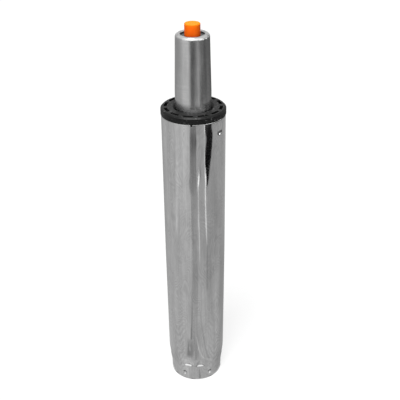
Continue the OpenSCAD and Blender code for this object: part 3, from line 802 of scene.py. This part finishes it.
def wide_cards():
    """Pale cards all round, near and far, with the dark band in front."""
    return [
        ("card_left", wing((-190, -150, -120, -88, -60, -34, left_edge),
                           (foot, 0.3, 0.35, 0.42, 0.66, 0.95, 1.1, 1.1),
                           (0.034, 0.3, 0.4, 0.5, 0.7, 0.95, 1.15, 1.15),
                           (0.05, 0.3, 0.5, 0.72, 0.93, 1.0, 1.0, 1.0),
                           (0.1, 0.3, 0.5, 0.78, 1.0, 1.04, 1.08, 1.0),
                           (0.2, 0.3, 0.52, 0.8, 0.9, 0.96, 1.03, 1.03),
                           (end, 0.26, 0.55, 0.94, 0.98, 1.04, 1.18, 1.12))),
        ("card_band", [(foot, band(-18, 9, 1.05, 1.0, 0.95)), (0.042, band(-18, 9, 1.05, 0.95, 0.9)),
                       (0.055, band(-18, 9, 1.0, 0.84, 0.88)), (0.12, band(-18.5, 9, 1.0, 0.8, 0.92)),
                       (0.145, band(-17.5, 8, 1.0, 0.76, 0.88)), (0.18, band(-12, 8, 1.0, 0.7, 0.85)),
                       (0.208, band(-9, 8, 1.0, 0.72, 0.82)), (0.245, band(-9, 7.4, 1.0, 0.72, 0.82)),
                       (0.28, band(-13, 7.4, 1.0, 0.72, 0.82)), (0.37, band(-14, 8.2, 1.05, 0.72, 0.82)),
                       (0.39, band(-17, 8, 1.0, 0.62, 0.82)), (0.415, band(-20, 7.6, 0.95, 0.56, 0.82)),
                       (0.44, band(-15.5, 7.3, 1.08, 0.56, 0.82)),
                       (0.502, band(-14.8, 7.9, 1.1, 0.48, 0.82)),
                       (0.52, band(-14.5, 8.2, 1.1, 0.36, 0.82)), (0.555, band(-14, 8.5, 1.1, 0.24, 0.82)),
                       (0.585, band(-13, 8.8, 1.1, 0.5, 0.82)), (end, band(-12.9, 9, 1.1, 0.4, 0.82))]),
        ("card_middle", wing((8.5, 24, 41.5), (foot, 0.95, 0.98, 1.0), (0.09, 0.9, 0.95, 0.98),
                             (0.13, 0.95, 1.0, 0.92), (0.18, 0.88, 0.92, 0.8), (0.24, 0.86, 0.82, 0.8),
                             (end, 0.84, 0.84, 0.84))),
        ("card_right", wing((41, 60, 80, 95, 118, 150, 190),
                            (foot, 0.98, 0.78, 0.55, 0.42, 0.32, 0.3, 0.3),
                            (0.034, 1.0, 0.82, 0.6, 0.48, 0.35, 0.3, 0.3),
                            (0.05, 1.0, 0.92, 0.84, 0.72, 0.55, 0.45, 0.3),
                            (0.09, 1.0, 1.0, 0.98, 0.82, 0.55, 0.45, 0.3),
                            (0.12, 0.94, 0.84, 0.96, 0.76, 0.56, 0.4, 0.3),
                            (0.18, 0.78, 0.66, 0.84, 0.8, 0.6, 0.42, 0.3),
                            (0.3, 0.86, 0.74, 0.7, 0.74, 0.72, 0.56, 0.35),
                            (end, 0.76, 0.74, 0.72, 0.78, 0.68, 0.62, 0.4))),
        ("far_left", wing((-190, -140, -90, -62, -29, -10), (end, 0.3, 0.54, 0.8, 1.1, 1.14, 0.36),
                          (0.8, 0.3, 0.54, 0.8, 1.1, 1.14, 0.32), (0.88, 0.3, 0.54, 0.8, 1.1, 1.1, 0.16),
                          (0.96, 0.3, 0.54, 0.8, 1.1, 1.0, 0.0), (far, 0.3, 0.54, 0.8, 1.1, 0.95, 0.0))),
        ("far_middle", wing((-10, 2, 14, 34, 56), (end, 0.36, 0.3, 0.45, 0.7, 0.2),
                            (0.8, 0.32, 0.28, 0.4, 0.68, 0.18), (0.88, 0.16, 0.16, 0.26, 0.66, 0.18),
                            (0.96, 0.0, 0.0, 0.12, 0.62, 0.18), (far, 0.0, 0.0, 0.12, 0.62, 0.18))),
        ("far_right", wing((56, 85, 105, 140, 190), (end, 0.22, 0.18, 0.27, 0.2, 0.1),
                           (far, 0.22, 0.18, 0.27, 0.2, 0.1))),
    ]


def strips():
    """The black card at the right, and bright and grey strips beside it and on the left."""
    return [
        ("card_black", [(0.4, even(44.5, 48.5, 0.01)), (0.424, even(42, 52.5, 0.01)),
                        (0.441, even(39.4, 55, 0.01)), (0.459, even(38.2, 59, 0.01)),
                        (0.478, even(38.6, 61.5, 0.01)), (0.504, even(39.4, 64.5, 0.01)),
                        (0.523, even(40.6, 67.5, 0.02)), (0.537, even(43.4, 69, 0.02)),
                        (0.552, even(45, 70, 0.02)), (0.568, even(44, 70.5, 0.02)),
                        (0.587, even(40.6, 68.5, 0.02)), (end, even(39.5, 62, 0.02))]),
        ("streak_left", [(0.26, even(-75, -64, 1.0)), (0.3, even(-74, -63, 1.2)),
                         (0.36, even(-72, -60, 1.22)), (0.43, even(-70, -57.5, 1.3)),
                         (0.5, even(-68, -56, 1.14)), (end, even(-65, -54, 1.12))]),
        ("strip_middle", [(0.215, even(15, 18.5, 1.0)), (0.233, even(14.5, 18.2, 1.25)),
                          (0.266, even(13.7, 18.1, 1.3)), (0.301, even(12.5, 16.5, 1.4)),
                          (0.338, even(12.4, 16.3, 1.35)), (0.375, even(12.6, 16.2, 1.2)),
                          (0.398, even(11.3, 15, 1.3))]),
        ("spot_middle", [(0.4, even(11.6, 14.5, 1.6)), (0.408, even(11.6, 15.6, 2.4)),
                         (0.42, even(12.2, 17, 3.0)), (0.433, even(14.2, 18.4, 2.4)),
                         (0.441, even(16, 18.4, 1.4)), (0.447, even(17, 18.4, 0.9))]),
        ("line_middle", [(0.425, even(22.5, 25, 0.6)), (0.44, even(21, 24.5, 0.45)),
                         (0.46, even(20, 23, 0.6))]),
        ("strip_right", [(0.25, even(42, 46, 0.9)), (0.262, even(41.4, 45.7, 1.2)),
                         (0.285, even(39.4, 44.9, 1.6)), (0.322, even(37.6, 43, 1.7)),
                         (0.361, even(37.3, 41.8, 1.75)), (0.406, even(38.5, 43.4, 1.55)),
                         (0.43, even(38.8, 44, 1.7)), (0.448, even(37, 39.6, 1.5)),
                         (0.466, even(35.8, 38.2, 1.5)), (0.516, even(35.2, 38.2, 1.2)),
                         (0.54, even(36.4, 40.5, 0.9)), (0.575, even(36.6, 40.5, 0.95)),
                         (0.599, even(36.6, 39.6, 2.2)), (end, even(36.6, 39.6, 2.5))]),
        ("spot_right", [(0.412, even(39.5, 42.6, 1.7)), (0.428, even(39, 43, 3.0)),
                        (0.44, even(38, 40.9, 2.1)), (0.448, even(37, 39.6, 1.4))]),
        ("line_right", [(0.157, even(40.9, 47, 0.66)), (0.195, even(41.6, 47.7, 0.62)),
                        (0.25, even(42.4, 48.4, 0.66))]),
    ]


def fans():
    """Small cards close to the foot, for the marks that fan out over the taper and the neck."""
    return [
        ("fan_left", [(0.14, even(-14, -10, 0.7)), (0.095, even(-19.5, -14.5, 0.55)),
                      (0.078, even(-21, -15.5, 0.55))]),
        ("fan_smudge", wing((-35, -29, -13, -8), (0.08, 1.0, 0.9, 0.85, 0.95),
                            (0.071, 1.0, 0.6, 0.66, 0.95), (0.057, 1.0, 0.5, 0.6, 0.95),
                            (0.049, 1.0, 0.9, 0.9, 0.95))),
        ("fan_hole", [(0.063, even(-25, -20, 0.9)), (0.069, even(-26, -21, 0.85))]),
        ("fan_middle", [(0.115, even(-9, -6, 0.7)), (0.063, even(-11, -7, 0.62))]),
        ("fan_third", [(0.074, even(-3, 0, 0.7)), (0.046, even(-4, 1, 0.7))]),
        ("fan_upper", [(0.098, even(3, 6, 0.8)), (0.08, even(4, 7.5, 0.75))]),
        ("fan_foot", [(0.03, even(6, 11, 0.75)), (0.0235, even(5.5, 11.5, 0.6))]),
        ("fan_far_right", [(0.13, even(14, 16, 0.8)), (0.08, even(26, 30, 0.76)),
                           (0.042, even(44, 50, 0.8))]),
        ("ray_right", [(0.085, even(0, 3, 1.15)), (0.065, even(7, 11, 1.25)), (0.058, even(13, 17, 1.2)),
                       (0.043, even(30, 35, 1.15))]),
        ("foot_shade", [(0.022, even(-190, 170, 0.1)), (0.0228, even(-190, 170, 0.3)),
                        (0.0236, even(-190, 170, 0.95))]),
    ]


def studio_cards():
    """Grey cards and thin strips round the object, which give the metal its bands."""
    for level, (name, rows) in enumerate(wide_cards() + strips() + fans(), 1):
        card(name, rows, level)


def standing_card(name, bearing, half_deg, distance, low, high, strength):
    """An upright card, mirrored where the metal's face is tilted up."""
    corners = [at(bearing + side * half_deg, distance, z)
               for side, z in ((-1, low), (1, low), (1, high), (-1, high))]
    piece = new_object(name, corners, [(0, 1, 2, 3)])
    piece.data.materials.append(glow_material(name, strength))
    only_mirrored(piece)


def overhead_card(name, low_corner, high_corner, z, strength):
    """A level card overhead, mirrored by rolled and rounded upper edges."""
    (x0, y0), (x1, y1) = low_corner, high_corner
    piece = new_object(name, [(x0, y0, z), (x1, y0, z), (x1, y1, z), (x0, y1, z)], [(3, 2, 1, 0)])
    piece.data.materials.append(glow_material(name, strength))
    only_mirrored(piece)


def lamp(name, bearing, elevation, spread, strength):
    """A distant lamp, of a spread in degrees that keeps its shadows soft."""
    light = bpy.data.lights.new(name, "SUN")
    light.angle = math.radians(spread)
    light.energy = strength
    rise = math.radians(elevation)
    away = at(bearing, math.cos(rise), math.sin(rise))
    holder = bpy.data.objects.new(name, light)
    holder.rotation_euler = away.to_track_quat("Z", "Y").to_euler()
    bpy.context.scene.collection.objects.link(holder)


def photo_camera():
    """The camera as the photograph had it, worked out from the outlines of the column and the tube."""
    image_px, focal_px, sensor = 400, 738.9, 36
    place = Vector((0, -0.5309, 0.4662))
    pitch, yaw, roll = 0.5038, 0.0085, -0.0087
    ahead = Vector((math.sin(yaw) * math.cos(pitch), math.cos(yaw) * math.cos(pitch), -math.sin(pitch)))
    level_right = ahead.cross(Vector((0, 0, 1))).normalized()
    level_up = level_right.cross(ahead)
    right = math.cos(roll) * level_right + math.sin(roll) * level_up
    up = math.cos(roll) * level_up - math.sin(roll) * level_right
    data = bpy.data.cameras.new("camera")
    data.sensor_width = sensor
    data.lens = focal_px * sensor / image_px
    data.clip_start = 0.01
    data.clip_end = 50
    camera = bpy.data.objects.new("camera", data)
    turn = Matrix((right, up, -ahead)).transposed().to_4x4()
    camera.matrix_world = Matrix.Translation(place) @ turn
    bpy.context.scene.collection.objects.link(camera)
    bpy.context.scene.camera = camera


studio_floor()
studio_world()
studio_cards()
standing_card("glint_left", bearing=-46, half_deg=22, distance=6, low=0.5, high=4.4, strength=4.6)
standing_card("glint_right", bearing=10, half_deg=16, distance=6, low=0.6, high=4.4, strength=3.8)
standing_card("glint_dimple", bearing=60, half_deg=17, distance=6, low=0.4, high=3.2, strength=4.5)
standing_card("flag_far", bearing=8, half_deg=34, distance=6.9, low=0.0, high=1.3, strength=0.05)
standing_card("glow_front", bearing=-15, half_deg=55, distance=6.2, low=0.4, high=3.6, strength=2.1)
standing_card("glint_side", bearing=100, half_deg=5, distance=6, low=0.28, high=1.2, strength=6.0)
standing_card("flag_side", bearing=100, half_deg=45, distance=6.5, low=1.6, high=3.4, strength=0.3)
overhead_card("top_card", (-1.8, -3.6), (2.2, -0.3), z=1.6, strength=2.8)
overhead_card("top_wide", (-4, -4), (4, 2.4), z=1.8, strength=1.5)
lamp("top_light", bearing=-15, elevation=68, spread=22, strength=6.0)
photo_camera()
bpy.context.scene.view_settings.view_transform = "Standard"
